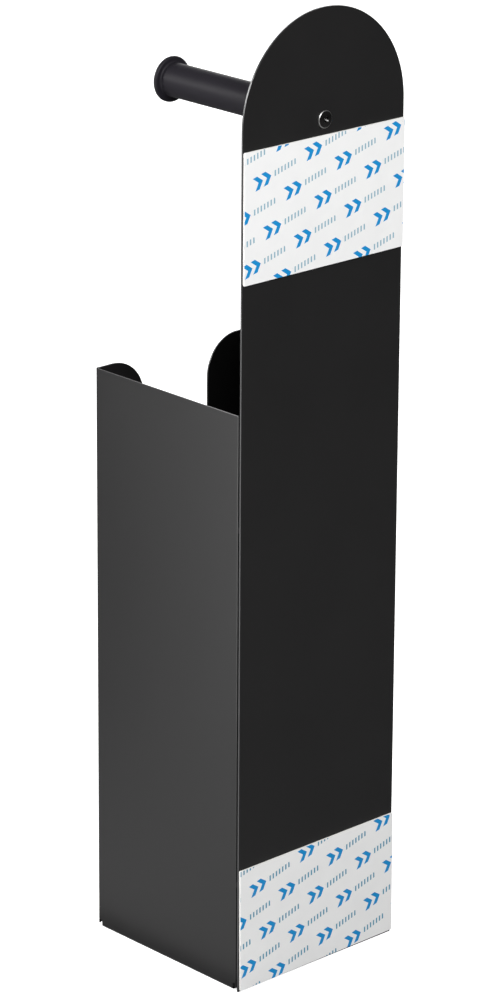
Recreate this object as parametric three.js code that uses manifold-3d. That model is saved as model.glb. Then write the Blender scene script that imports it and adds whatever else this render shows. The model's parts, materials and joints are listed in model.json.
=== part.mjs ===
// A self-adhesive toilet paper holder with a tall storage box for spare rolls.
//
// Two pieces of sheet steel make the body: a flat back plate with a round top, and a folded storage
// box whose rear flanges are welded to the plate. A tubular arm for the roll in use stands out of
// the plate above the box, held by one screw from behind. Two strips of foam tape on the plate's
// rear face stick the holder to a wall, each still under its release liner.
//
// Millimetres. +Z is up, -Y is the front, where the arm points, and +Y is the wall side.
// The origin is at the bottom centre of the whole holder.

import * as THREE from 'three';
import { mergeVertices } from 'three/addons/utils/BufferGeometryUtils.js';
import Module from 'manifold-3d';

// ---- Driving dimensions ----

const PLATE_WIDTH = 130;
const PLATE_HEIGHT = 604; // to the top of the round end
const PLATE_THICKNESS = 1.2;

const BOX_DEPTH = 128.8; // from the plate's front face to the outside of the front lips
const BOX_HEIGHT = 368.5;
const BOX_SHEET = 1; // sheet thickness of the storage box
const FOLD_RADIUS = 0.8; // inside radius of every fold
const LIP_WIDTH = 38.5; // front lip, from the outside of the side panel to the slot
const LIP_CORNER_RADIUS = 25; // top inner corner of each front lip
const FLANGE_WIDTH = 14; // rear flange that lies against the plate
const WALL_FOOT = 2; // height at which the lips, the flanges and their folds stop above the ground
const RELIEF_WIDTH = 2.1; // notch between the floor's fold and a wall's fold
const RELIEF_HEIGHT = 4.6;
const FLOOR_CORNER_CUT = 5; // how far the floor's two ends stay inside the side panels

const WELD_LENGTH = 4;
const WELD_INSET = 70.5; // from the box's top and bottom edges to the middle of a tack weld
const WELD_FACE_DEPTH = 0.12; // how far a tack weld lies below the side panel's face

const ARM_DROP = 67; // from the top of the plate to the arm's axis
const ARM_DIAMETER = 21;
const ARM_WALL = 1.5;
const ARM_TUBE_LENGTH = 129;
const CAP_RIM_STEP = 3.6; // how far the end cap's rim stands above the tube
const CAP_RIM_THICKNESS = 3;
const CAP_RIM_ROUNDING = 1.2;
const CAP_FILLET = 1.2; // cove between the tube and the back of the rim
const CAP_SPIGOT_LENGTH = 14;
const CAP_SPIGOT_CHAMFER = 1;
const PLUG_LENGTH = 18;

const SCREW_DIAMETER = 4.9; // M5 over its thread crests
const SCREW_LENGTH = 12; // under the head
const SCREW_TIP_CHAMFER = 0.7;
const SCREW_HEAD_DIAMETER = 10.8;
const SCREW_HEAD_HEIGHT = 1.4;
const SCREW_HEAD_EDGE = 0.5; // straight edge below the head's dome
const RECESS_SPAN = 5.4; // cross recess, tip to tip
const RECESS_SLOT = 1.1;
const RECESS_DEPTH = 2;

const TAPE_SIDE_MARGIN = 0.4; // between the tape's cut ends and the plate's sides
const TAPE_HEIGHT = 79.3;
const FOAM_THICKNESS = 1.5;
const LINER_THICKNESS = 0.2; // release paper with the adhesive under it
const UPPER_TAPE_DROP = 9.2; // from the arm's axis to the upper tape's top edge
const LOWER_TAPE_LIFT = 1.4; // from the plate's bottom edge to the lower tape's, at its middle
const LOWER_TAPE_TILT = THREE.MathUtils.degToRad(0.4); // the lower strip is laid by hand

// ---- Clearances ----

const ARM_SEAT_GAP = 0.1; // between the plate and what turns in front of it
const PRESS_GAP = 0.05; // around the end cap's spigot and the plug, inside the tube
const THREAD_GAP = 0.15; // radial, between the screw and the plug's thread
const SCREW_HOLE_GAP = 0.3; // radial, between the screw and the hole in the plate
const FLOOR_GAP = 0.3; // between the floor's rear edge and the plate
const WELD_GAP = 0.05; // between a tack weld's solid and the two sheets that it joins
const OVERSHOOT = 1; // how far a cutting shape runs past the faces that it cuts

// ---- Places that follow from them ----

const capReach = CAP_FILLET + CAP_RIM_THICKNESS;
const armReach = ARM_SEAT_GAP + ARM_TUBE_LENGTH + capReach;
const tapeThickness = FOAM_THICKNESS + LINER_THICKNESS;
const tapeLength = PLATE_WIDTH - 2 * TAPE_SIDE_MARGIN;
const overallDepth = Math.max(armReach, BOX_DEPTH) + PLATE_THICKNESS + tapeThickness;

const plateRearY = overallDepth / 2 - tapeThickness;
const plateFrontY = plateRearY - PLATE_THICKNESS;
const boxFrontY = plateFrontY - BOX_DEPTH;
const sideX = PLATE_WIDTH / 2;
const foldOutside = FOLD_RADIUS + BOX_SHEET;
const armHeight = PLATE_HEIGHT - ARM_DROP;
const armRadius = ARM_DIAMETER / 2;
const tubeBore = armRadius - ARM_WALL;
const screwRadius = SCREW_DIAMETER / 2;

const FINE_ROUND = 48; // sides of the arm's round pieces
const SMALL_ROUND = 32; // sides of the screw and its holes
const FOLD_STEPS = 6; // facets in a fold

// ---- Materials ----

function finish(color, roughness, metalness) {
  return new THREE.MeshStandardMaterial({ color, roughness, metalness });
}

const powderCoat = () => finish(0x1d1c1d, 0.55, 0.1);
const anodised = () => finish(0x2a282d, 0.4, 0.6);
const bareAluminium = () => finish(0xb4b4b6, 0.35, 1);
const blackSteel = () => finish(0x161616, 0.45, 0.7);
const whiteFoam = () => finish(0xe8e6e1, 0.9, 0);
const linerPaper = () => finish(0xf2f2f0, 0.5, 0);

function part(name, geometry, material) {
  const mesh = new THREE.Mesh(geometry, material);
  mesh.name = name;
  return mesh;
}

// ---- Shape helpers ----

const wasm = await Module();
wasm.setup();

function toSolid(geometry) {
  const bare = geometry.clone();
  bare.deleteAttribute('normal');
  bare.deleteAttribute('uv');
  const merged = mergeVertices(bare);
  return new wasm.Manifold(new wasm.Mesh({
    numProp: 3,
    vertProperties: new Float32Array(merged.attributes.position.array),
    triVerts: new Uint32Array(merged.index.array),
  }));
}

function toGeometry(solid) {
  const { vertProperties, triVerts } = solid.getMesh();
  const geometry = new THREE.BufferGeometry();
  geometry.setAttribute('position', new THREE.BufferAttribute(vertProperties, 3));
  geometry.setIndex(new THREE.BufferAttribute(triVerts, 1));
  geometry.computeVertexNormals();
  return geometry;
}

// Extrudes an outline of x and y upwards, between two heights.
function extrudeUp(outline, low, high, curveSegments = FOLD_STEPS) {
  const options = { depth: high - low, bevelEnabled: false, curveSegments };
  return new THREE.ExtrudeGeometry(outline, options).translate(0, 0, low);
}

// Extrudes an outline of x and z along y. Turning it up makes the extrusion run towards -y.
function extrudeBack(outline, front, rear, curveSegments = FOLD_STEPS) {
  const options = { depth: rear - front, bevelEnabled: false, curveSegments };
  return new THREE.ExtrudeGeometry(outline, options).rotateX(Math.PI / 2).translate(0, rear, 0);
}

function block([x0, x1], [y0, y1], [z0, z1]) {
  const geometry = new THREE.BoxGeometry(x1 - x0, y1 - y0, z1 - z0);
  return geometry.translate((x0 + x1) / 2, (y0 + y1) / 2, (z0 + z1) / 2);
}

// A round piece about the y axis. The profile holds [radius, y] and runs with y rising outside.
function turned(profile, sides) {
  return new THREE.LatheGeometry(profile.map(([r, y]) => new THREE.Vector2(r, y)), sides);
}

// Points of an arc about a centre, for a turned profile or an outline.
function arc(u, v, radius, fromDegrees, toDegrees, steps) {
  return Array.from({ length: steps + 1 }, (_, i) => {
    const angle = THREE.MathUtils.degToRad(fromDegrees + ((toDegrees - fromDegrees) * i) / steps);
    return [u + radius * Math.cos(angle), v + radius * Math.sin(angle)];
  });
}

// The section of a folded sheet. The path is the sheet's outside face with sharp corners. Every
// corner is a fold by a right angle, and all of them turn the same way.
function foldedSection(corners, sheet, insideRadius) {
  const path = corners.map(([u, v]) => new THREE.Vector2(u, v));
  const runs = path.slice(1).map((point, i) => point.clone().sub(path[i]).normalize());
  const turn = Math.sign(runs[0].cross(runs[1]));
  const inward = runs.map((run) => new THREE.Vector2(-run.y, run.x).multiplyScalar(turn));
  const outsideRadius = insideRadius + sheet;
  const folds = runs.slice(1).map((_, i) => ({
    centre: path[i + 1].clone()
      .addScaledVector(runs[i], -outsideRadius)
      .addScaledVector(inward[i], outsideRadius),
    start: inward[i].clone().negate(),
    end: inward[i + 1].clone().negate(),
  }));

  const shape = new THREE.Shape();
  const lineTo = (point) => shape.lineTo(point.x, point.y);
  const innerEnd = (point, normal) => point.clone().addScaledVector(normal, sheet);
  shape.moveTo(path[0].x, path[0].y);
  for (const { centre, start, end } of folds) {
    lineTo(centre.clone().addScaledVector(start, outsideRadius));
    shape.absarc(centre.x, centre.y, outsideRadius, start.angle(), end.angle(), turn < 0);
  }
  lineTo(path.at(-1));
  lineTo(innerEnd(path.at(-1), inward.at(-1)));
  for (const { centre, start, end } of folds.toReversed()) {
    lineTo(centre.clone().addScaledVector(end, insideRadius));
    shape.absarc(centre.x, centre.y, insideRadius, end.angle(), start.angle(), turn > 0);
  }
  lineTo(innerEnd(path[0], inward[0]));
  shape.closePath();
  return shape;
}

// ---- Back plate ----

function makeBackPlate() {
  const shoulder = PLATE_HEIGHT - sideX; // where the straight sides meet the round top
  const outline = new THREE.Shape();
  outline.moveTo(-sideX, 0);
  outline.lineTo(sideX, 0);
  outline.lineTo(sideX, shoulder);
  outline.absarc(0, shoulder, sideX, 0, Math.PI, false);
  outline.lineTo(-sideX, 0);

  const hole = new THREE.Path();
  hole.absarc(0, armHeight, screwRadius + SCREW_HOLE_GAP, 0, 2 * Math.PI, true);
  outline.holes.push(hole);
  return extrudeBack(outline, plateFrontY, plateRearY, FINE_ROUND);
}

// ---- Storage box, folded from one sheet ----

// One side panel with its rear flange and its front lip. `hand` is 1 on the +X side, -1 on the other.
function makeBoxWall(hand) {
  const plan = foldedSection([
    [hand * (sideX - FLANGE_WIDTH), plateFrontY],
    [hand * sideX, plateFrontY],
    [hand * sideX, boxFrontY],
    [hand * (sideX - LIP_WIDTH), boxFrontY],
  ], BOX_SHEET, FOLD_RADIUS);
  const wall = toSolid(extrudeUp(plan, WALL_FOOT, BOX_HEIGHT));

  // The waste outside the lip's round top corner.
  const slotX = hand * (sideX - LIP_WIDTH);
  const pastSlotX = slotX - hand * OVERSHOOT;
  const cornerLow = BOX_HEIGHT - LIP_CORNER_RADIUS;
  const cornerX = slotX + hand * LIP_CORNER_RADIUS;
  const waste = new THREE.Shape();
  waste.moveTo(pastSlotX, cornerLow);
  waste.lineTo(slotX, cornerLow);
  waste.absarc(cornerX, cornerLow, LIP_CORNER_RADIUS, hand > 0 ? Math.PI : 0, Math.PI / 2, hand > 0);
  waste.lineTo(cornerX, BOX_HEIGHT + OVERSHOOT);
  waste.lineTo(pastSlotX, BOX_HEIGHT + OVERSHOOT);
  waste.closePath();
  const lipRear = boxFrontY + BOX_SHEET + OVERSHOOT;
  const cornerWaste = toSolid(extrudeBack(waste, boxFrontY - OVERSHOOT, lipRear, 2 * FOLD_STEPS));

  // The two notches that let the floor's fold and the wall's folds be bent apart from each other.
  const sheetMiddleX = hand * (sideX - BOX_SHEET / 2);
  const halfNotch = BOX_SHEET / 2 + OVERSHOOT;
  const acrossSheet = [sheetMiddleX - halfNotch, sheetMiddleX + halfNotch];
  const notchHeight = [0, RELIEF_HEIGHT];
  const frontFoldEnd = boxFrontY + foldOutside;
  const rearFoldEnd = plateFrontY - foldOutside;
  const frontReach = [frontFoldEnd, frontFoldEnd + RELIEF_WIDTH];
  const rearReach = [rearFoldEnd - RELIEF_WIDTH, rearFoldEnd];
  const frontNotch = toSolid(block(acrossSheet, frontReach, notchHeight));
  const rearNotch = toSolid(block(acrossSheet, rearReach, notchHeight));
  return wall.subtract(cornerWaste).subtract(frontNotch).subtract(rearNotch);
}

function makeStorageBox() {
  const floorSection = foldedSection([
    [-sideX, RELIEF_HEIGHT],
    [-sideX, 0],
    [sideX, 0],
    [sideX, RELIEF_HEIGHT],
  ], BOX_SHEET, FOLD_RADIUS);
  const foldFront = boxFrontY + foldOutside + RELIEF_WIDTH;
  const foldRear = plateFrontY - foldOutside - RELIEF_WIDTH;
  const floor = toSolid(extrudeBack(floorSection, foldFront, foldRear));

  // The floor runs on under the lips and the flanges, clear of the folds at its corners.
  const floorEndX = sideX - FLOOR_CORNER_CUT;
  const floorDepth = [boxFrontY, plateFrontY - FLOOR_GAP];
  const floorEnds = toSolid(block([-floorEndX, floorEndX], floorDepth, [0, BOX_SHEET]));
  return toGeometry(makeBoxWall(1).add(makeBoxWall(-1)).add(floor).add(floorEnds));
}

// ---- Tack welds in the groove between the box's rear folds and the plate ----

function makeTackWeld(hand, middle) {
  const centreX = sideX - foldOutside;
  const centreY = plateFrontY - foldOutside;
  const radius = foldOutside + WELD_GAP;
  const outerX = sideX - WELD_FACE_DEPTH;
  const rearY = plateFrontY - WELD_GAP;
  const outerAngle = THREE.MathUtils.radToDeg(Math.acos((outerX - centreX) / radius));
  const innerAngle = THREE.MathUtils.radToDeg(Math.asin((rearY - centreY) / radius));
  const groove = [...arc(centreX, centreY, radius, outerAngle, innerAngle, FOLD_STEPS), [outerX, rearY]];
  const outline = new THREE.Shape(groove.map(([x, y]) => new THREE.Vector2(hand * x, y)));
  return extrudeUp(outline, middle - WELD_LENGTH / 2, middle + WELD_LENGTH / 2);
}

// ---- Arm, drawn about its own axis with the plate's side at y = 0 and its front at -y ----

function makeArmTube() {
  return turned([
    [tubeBore, -ARM_TUBE_LENGTH],
    [armRadius, -ARM_TUBE_LENGTH],
    [armRadius, 0],
    [tubeBore, 0],
    [tubeBore, -ARM_TUBE_LENGTH],
  ], FINE_ROUND);
}

function makeArmEndCap() {
  const spigotRadius = tubeBore - PRESS_GAP;
  const rimRadius = armRadius + CAP_RIM_STEP;
  const frontY = -ARM_TUBE_LENGTH - capReach;
  const rimRearY = frontY + CAP_RIM_THICKNESS;
  const roundX = rimRadius - CAP_RIM_ROUNDING;
  const seatY = -ARM_TUBE_LENGTH - PRESS_GAP;
  return turned([
    [0, frontY],
    ...arc(roundX, frontY + CAP_RIM_ROUNDING, CAP_RIM_ROUNDING, -90, 0, 5),
    ...arc(roundX, rimRearY - CAP_RIM_ROUNDING, CAP_RIM_ROUNDING, 0, 90, 5),
    ...arc(armRadius + CAP_FILLET, rimRearY + CAP_FILLET, CAP_FILLET, 270, 185, 4),
    [armRadius, seatY],
    [spigotRadius, seatY],
    [spigotRadius, seatY + CAP_SPIGOT_LENGTH - CAP_SPIGOT_CHAMFER],
    [spigotRadius - CAP_SPIGOT_CHAMFER, seatY + CAP_SPIGOT_LENGTH],
    [0, seatY + CAP_SPIGOT_LENGTH],
  ], FINE_ROUND);
}

function makeArmPlug() {
  const thread = screwRadius + THREAD_GAP;
  const outside = tubeBore - PRESS_GAP;
  return turned([
    [thread, -PLUG_LENGTH],
    [outside, -PLUG_LENGTH],
    [outside, 0],
    [thread, 0],
    [thread, -PLUG_LENGTH],
  ], FINE_ROUND);
}

// ---- Fixing screw, drawn about its own axis with the head's seat at y = 0 and its tip at -y ----

function makeFixingScrew() {
  const headRadius = SCREW_HEAD_DIAMETER / 2;
  const rise = SCREW_HEAD_HEIGHT - SCREW_HEAD_EDGE;
  const domeRadius = (headRadius ** 2 + rise ** 2) / (2 * rise);
  const domeAngle = THREE.MathUtils.radToDeg(Math.asin(headRadius / domeRadius));
  const dome = arc(0, SCREW_HEAD_HEIGHT - domeRadius, domeRadius, 90 - domeAngle, 90, 6);
  dome[dome.length - 1][0] = 0;
  const body = toSolid(turned([
    [0, -SCREW_LENGTH],
    [screwRadius - SCREW_TIP_CHAMFER, -SCREW_LENGTH],
    [screwRadius, -SCREW_LENGTH + SCREW_TIP_CHAMFER],
    [screwRadius, 0],
    [headRadius, 0],
    ...dome,
  ], SMALL_ROUND));

  const span = [-RECESS_SPAN / 2, RECESS_SPAN / 2];
  const slot = [-RECESS_SLOT / 2, RECESS_SLOT / 2];
  const depth = [SCREW_HEAD_HEIGHT - RECESS_DEPTH, SCREW_HEAD_HEIGHT + OVERSHOOT];
  const across = toSolid(block(span, depth, slot));
  const upright = toSolid(block(slot, depth, span));
  return toGeometry(body.subtract(across.add(upright)));
}

// ---- Foam tape: a foam pad on the plate, and its release liner behind it ----

function makeTape(name, middle, tilt) {
  const across = [-tapeLength / 2, tapeLength / 2];
  const upright = [-TAPE_HEIGHT / 2, TAPE_HEIGHT / 2];
  const foamRearY = plateRearY + FOAM_THICKNESS;
  const foam = block(across, [plateRearY, foamRearY], upright);
  const liner = block(across, [foamRearY, plateRearY + tapeThickness], upright);
  const tape = new THREE.Group();
  tape.add(part(`${name}_foam_pad`, foam, whiteFoam()));
  tape.add(part(`${name}_release_liner`, liner, linerPaper()));
  tape.position.z = middle;
  tape.rotation.y = tilt;
  return tape;
}

// ---- The whole holder ----

const holder = new THREE.Group();
holder.add(part('back_plate', makeBackPlate(), powderCoat()));
holder.add(part('storage_box', makeStorageBox(), powderCoat()));

for (const [side, hand] of [['right', 1], ['left', -1]]) {
  for (const [level, middle] of [['lower', WELD_INSET], ['upper', BOX_HEIGHT - WELD_INSET]]) {
    holder.add(part(`tack_weld_${side}_${level}`, makeTackWeld(hand, middle), powderCoat()));
  }
}

const arm = new THREE.Group();
arm.position.set(0, plateFrontY - ARM_SEAT_GAP, armHeight);
arm.add(part('arm_tube', makeArmTube(), anodised()));
arm.add(part('arm_end_cap', makeArmEndCap(), anodised()));
arm.add(part('arm_plug', makeArmPlug(), bareAluminium()));
holder.add(arm);

const screw = part('fixing_screw', makeFixingScrew(), blackSteel());
screw.position.set(0, plateRearY, armHeight);
holder.add(screw);

const upperTapeMiddle = armHeight - UPPER_TAPE_DROP - TAPE_HEIGHT / 2;
const lowerTapeMiddle = LOWER_TAPE_LIFT + TAPE_HEIGHT / 2;
holder.add(makeTape('upper', upperTapeMiddle, 0));
holder.add(makeTape('lower', lowerTapeMiddle, LOWER_TAPE_TILT));

export default holder;
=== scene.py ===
# %% [markdown]
# # A toilet paper holder with a box for spare rolls
# This lesson builds the looks of a wall-mounted toilet paper holder. A sheet-steel back plate with
# a round top carries a tubular arm for the roll in use. Below the arm stands a folded storage box
# for spare rolls. Two strips of foam tape, still under their printed release liners, will hold
# the plate to the wall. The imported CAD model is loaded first, because every place and size comes
# from it.

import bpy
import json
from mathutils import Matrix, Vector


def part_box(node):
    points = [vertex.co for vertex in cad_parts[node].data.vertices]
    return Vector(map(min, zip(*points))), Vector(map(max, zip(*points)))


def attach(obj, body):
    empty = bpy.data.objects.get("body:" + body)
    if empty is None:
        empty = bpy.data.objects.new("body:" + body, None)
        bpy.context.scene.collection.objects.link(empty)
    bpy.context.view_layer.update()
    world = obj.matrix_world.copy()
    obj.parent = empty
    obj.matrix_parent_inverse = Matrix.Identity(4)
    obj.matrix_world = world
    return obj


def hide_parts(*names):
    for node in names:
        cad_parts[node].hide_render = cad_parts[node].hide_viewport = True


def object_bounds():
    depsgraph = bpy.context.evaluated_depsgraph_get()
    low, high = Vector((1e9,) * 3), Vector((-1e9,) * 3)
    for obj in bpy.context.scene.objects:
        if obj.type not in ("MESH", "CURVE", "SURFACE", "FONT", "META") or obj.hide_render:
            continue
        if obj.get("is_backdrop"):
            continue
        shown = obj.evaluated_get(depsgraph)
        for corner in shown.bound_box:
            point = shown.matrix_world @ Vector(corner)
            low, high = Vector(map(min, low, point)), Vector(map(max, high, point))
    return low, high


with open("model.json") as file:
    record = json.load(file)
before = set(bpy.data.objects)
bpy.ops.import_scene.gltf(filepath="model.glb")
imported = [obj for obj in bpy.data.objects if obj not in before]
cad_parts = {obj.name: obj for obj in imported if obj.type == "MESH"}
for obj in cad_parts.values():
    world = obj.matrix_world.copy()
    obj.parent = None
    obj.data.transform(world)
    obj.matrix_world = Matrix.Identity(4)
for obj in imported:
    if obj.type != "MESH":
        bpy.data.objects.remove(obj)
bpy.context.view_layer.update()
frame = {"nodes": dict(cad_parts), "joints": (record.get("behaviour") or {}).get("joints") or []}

# %% [markdown]
# Everything below is written in metres, so a millimetre gets a name of its own. The plate, the
# box and the arm's axis are the landmarks that the other pieces are placed from.

# %% Landmarks of the holder
import json
import math

import bmesh
import bpy
from mathutils import Vector

MM = 0.001
UP = Vector((0, 0, 1))

plate_low, plate_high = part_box("back_plate")
box_low, box_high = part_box("storage_box")
tube_low, tube_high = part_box("arm_tube")
cap_low, cap_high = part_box("arm_end_cap")
arm_height = frame["joints"][0]["pos_m"][2]
print("plate thickness in mm:", round((plate_high.y - plate_low.y) / MM, 2))
print("arm axis above the ground in mm:", round(arm_height / MM, 1))

# %% [markdown]
# The camera stands behind the holder and to its side, a little above it, because the tapes and
# the screw are on the rear face. A long lens keeps the upright edges almost parallel. The lens
# is also shifted, as with a shift lens, so that the foot of the tall plate comes into the frame
# without tilting the camera any further.

# %% Camera
CAMERA_TURN = math.radians(136.934)  # round the object, from straight in front of it
CAMERA_HEIGHT_ANGLE = math.radians(17.283)
CAMERA_ROLL = math.radians(0.356)
CAMERA_DISTANCE = 2.545
CAMERA_AIM = Vector((-0.0023, 0.0015, 0.3809))
CAMERA_LENS = 151.76
CAMERA_SHIFT = -0.15

towards_camera = Vector((
    math.sin(CAMERA_TURN) * math.cos(CAMERA_HEIGHT_ANGLE),
    -math.cos(CAMERA_TURN) * math.cos(CAMERA_HEIGHT_ANGLE),
    math.sin(CAMERA_HEIGHT_ANGLE),
))
bpy.ops.object.camera_add(
    location=CAMERA_AIM + towards_camera * CAMERA_DISTANCE,
    rotation=(math.pi / 2 - CAMERA_HEIGHT_ANGLE, 0, CAMERA_TURN),
)
camera = bpy.context.object
camera.name = "camera"
camera.rotation_euler.rotate_axis("Z", CAMERA_ROLL)
camera.data.lens = CAMERA_LENS
camera.data.sensor_width = 36
camera.data.shift_y = CAMERA_SHIFT
camera.data.dof.use_dof = False
bpy.context.scene.camera = camera
print("camera place:", [round(v, 3) for v in camera.location])

# %% [markdown]
# A studio for a black product needs dark surroundings and a few soft lamps, because satin black
# shows little of its own colour and much of what it mirrors. Seen from above, the side panel
# mirrors what stands low in front of it. So two upright strips and a card on the floor give it
# an even glare that grows towards the plate. The edge lamp draws the thin bright line on the
# plate's cut edge, and a large lamp behind the camera lights the white tapes.

# %% Lamps
def add_lamp(name, place, target, size, power):
    """A soft rectangular lamp at a place, looking at a target. The camera doesn't see it."""
    away = (Vector(place) - Vector(target)).normalized()
    bpy.ops.object.light_add(type="AREA", location=place)
    lamp = bpy.context.object
    lamp.name = name
    lamp.rotation_euler = away.to_track_quat("Z", "Y").to_euler()
    lamp.data.shape = "RECTANGLE"
    lamp.data.size, lamp.data.size_y = size
    lamp.data.energy = power
    lamp.visible_camera = False


add_lamp("key_lamp", (0.95, -0.66, 0.72), (0.0, 0.0, 0.60), (0.28, 1.4), 1.6)
add_lamp("side_strip", (0.43, -0.20, 0.44), (0.065, 0.05, 0.44), (0.10, 0.86), 0.5)
add_lamp("rear_strip", (0.30, -0.06, 0.30), (0.065, 0.065, 0.25), (0.06, 0.6), 0.54)
add_lamp("floor_card", (0.165, -0.13, 0.004), (0.165, -0.13, 1.0), (0.18, 0.42), 0.12)
add_lamp("edge_lamp", (1.30, -1.25, 1.10), (0.0, 0.0, 0.50), (0.5, 0.6), 15)
add_lamp("tape_lamp", (0.75, 1.55, 1.60), (0.0, 0.0, 0.45), (1.2, 1.0), 47)
add_lamp("top_lamp", (0.0, -0.30, 2.3), (0.0, 0.0, 0.3), (1.6, 1.6), 5)
add_lamp("far_side_lamp", (-1.9, -1.4, 1.2), (0.0, 0.0, 0.3), (1.0, 1.4), 14)

# %% [markdown]
# Materials are built as trees of nodes. Three short helpers keep the code readable: one adds a
# node at its place in the tree, one links or sets a socket, and one adds a piece of arithmetic.

# %% Node helpers
def new_node(tree, kind, place=(0, 0), **settings):
    """Adds a node; place counts columns and rows."""
    node = tree.nodes.new(kind)
    node.location = (place[0] * 200, place[1] * -180)
    for key, value in settings.items():
        setattr(node, key, value)
    return node


def feed(tree, socket, value):
    """Links an output into a socket, or sets the socket's own value."""
    if isinstance(value, bpy.types.NodeSocket):
        tree.links.new(value, socket)
    else:
        socket.default_value = value


def calc(tree, operation, *values, place=(0, 0)):
    """Adds a Math node whose inputs are numbers or outputs of other nodes."""
    node = new_node(tree, "ShaderNodeMath", place, operation=operation)
    for socket, value in zip(node.inputs, values):
        feed(tree, socket, value)
    return node.outputs[0]


print("node helpers ready: new_node, feed, calc")

# %% [markdown]
# The floor is one large pale sheet. The camera sees it bright, as a studio floor that is lit on
# its own. For every other ray it is a mid grey, so it doesn't flood the black paint from below.
# A Light Path node tells the camera's rays from the others, and a Mix Shader picks the answer.

# %% Studio floor
FLOOR_GLOW = 0.8
FLOOR_GREY = 0.28

bpy.ops.object.select_all(action="DESELECT")
bpy.ops.mesh.primitive_plane_add(size=9, location=(0, 0, -0.0002))
floor = bpy.context.object
floor.name = "studio_floor"
floor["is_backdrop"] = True

floor_paint = bpy.data.materials.new("studio_floor_paint")
floor_paint.use_nodes = True
tree = floor_paint.node_tree
tree.nodes.clear()
rays = new_node(tree, "ShaderNodeLightPath", (0, 0))
seen = new_node(tree, "ShaderNodeEmission", (0, 1))
seen.inputs["Color"].default_value = (1, 1, 1, 1)
seen.inputs["Strength"].default_value = FLOOR_GLOW
lit = new_node(tree, "ShaderNodeBsdfDiffuse", (0, 2))
lit.inputs["Color"].default_value = (0.9, 0.9, 0.9, 1)
both = new_node(tree, "ShaderNodeAddShader", (1, 1))
dim = new_node(tree, "ShaderNodeBsdfDiffuse", (1, 3))
dim.inputs["Color"].default_value = (FLOOR_GREY, FLOOR_GREY, FLOOR_GREY, 1)
choice = new_node(tree, "ShaderNodeMixShader", (2, 1))
out = new_node(tree, "ShaderNodeOutputMaterial", (3, 1))
tree.links.new(seen.outputs[0], both.inputs[0])
tree.links.new(lit.outputs[0], both.inputs[1])
tree.links.new(rays.outputs["Is Camera Ray"], choice.inputs[0])
tree.links.new(dim.outputs[0], choice.inputs[1])
tree.links.new(both.outputs[0], choice.inputs[2])
tree.links.new(choice.outputs[0], out.inputs["Surface"])
floor.data.materials.append(floor_paint)
print("floor paint nodes:", len(tree.nodes))

# %% [markdown]
# The world is handled in the same way: white to look at, and dim as a light. It has no shader to
# mix, so the ray's kind sets the strength of its one background.

# %% Studio world
WORLD_LIGHT = 0.15
WORLD_GLOW = 0.9

world = bpy.data.worlds.new("studio")
bpy.context.scene.world = world
world.use_nodes = True
tree = world.node_tree
tree.nodes.clear()
rays = new_node(tree, "ShaderNodeLightPath", (0, 0))
strength = calc(
    tree, "MULTIPLY_ADD", rays.outputs["Is Camera Ray"], WORLD_GLOW, WORLD_LIGHT, place=(1, 0))
sky = new_node(tree, "ShaderNodeBackground", (2, 0))
sky.inputs["Color"].default_value = (1, 1, 1, 1)
tree.links.new(strength, sky.inputs["Strength"])
out = new_node(tree, "ShaderNodeOutputWorld", (3, 0))
tree.links.new(sky.outputs[0], out.inputs["Surface"])
bpy.context.scene.view_settings.view_transform = "Standard"
print("floor and world are white to the camera and dim to the object")

# %% [markdown]
# Several finishes share the same fine relief and the same slow, cloudy change of tone. Both are
# built once as node groups, with the size of their grain as an input, and placed in each material
# with that material's own values.

# %% Shared groups: fine relief and cloudy tone
def start_group(name, inputs, outputs):
    """A shader node group with named inputs; its outputs are floats."""
    group = bpy.data.node_groups.new(name, "ShaderNodeTree")
    for label, kind in inputs:
        group.interface.new_socket(name=label, in_out="INPUT", socket_type=kind)
    for label in outputs:
        group.interface.new_socket(name=label, in_out="OUTPUT", socket_type="NodeSocketFloat")
    into = new_node(group, "NodeGroupInput", (-1, 0))
    outof = new_node(group, "NodeGroupOutput", (9, 0))
    return group, into.outputs, outof.inputs


VECTOR, FLOAT = "NodeSocketVector", "NodeSocketFloat"
grain_group, given, result = start_group(
    "surface_grain", [("Vector", VECTOR), ("Grain Size", FLOAT), ("Cloud Size", FLOAT)],
    ["Relief", "Cloud"])
for column, (size_name, result_name, detail) in enumerate(
        (("Grain Size", "Relief", 3), ("Cloud Size", "Cloud", 4))):
    scaled = new_node(grain_group, "ShaderNodeVectorMath", (1, column), operation="SCALE")
    grain_group.links.new(given["Vector"], scaled.inputs[0])
    share = calc(grain_group, "DIVIDE", 1.0, given[size_name], place=(0, column + 1))
    grain_group.links.new(share, scaled.inputs["Scale"])
    noise = new_node(grain_group, "ShaderNodeTexNoise", (3, column))
    noise.inputs["Scale"].default_value = 1
    noise.inputs["Detail"].default_value = detail
    grain_group.links.new(scaled.outputs[0], noise.inputs["Vector"])
    grain_group.links.new(noise.outputs[0], result[result_name])
print("group surface_grain:", len(grain_group.nodes), "nodes")

# %% [markdown]
# Every finish starts in the same way, with a Principled shader and the Object coordinates, and
# ends with a bump. These helpers hold what repeats, so each finish below shows only its own
# colours and its own gloss.

# %% Material helpers
def start_material(name, metallic=0.0, specular=0.5):
    """A material with a Principled shader and Object coordinates."""
    material = bpy.data.materials.new(name)
    material.use_nodes = True
    tree = material.node_tree
    shader = tree.nodes["Principled BSDF"]
    shader.location = (1800, 0)
    tree.nodes["Material Output"].location = (2200, 0)
    shader.inputs["Metallic"].default_value = metallic
    shader.inputs["Specular IOR Level"].default_value = specular
    place = new_node(tree, "ShaderNodeTexCoord", (-2, 0)).outputs["Object"]
    return material, tree, shader.inputs, place


def paint(piece, *materials):
    """Fills the piece's material slots in order."""
    piece.data.materials.clear()
    for material in materials:
        piece.data.materials.append(material)


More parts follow.
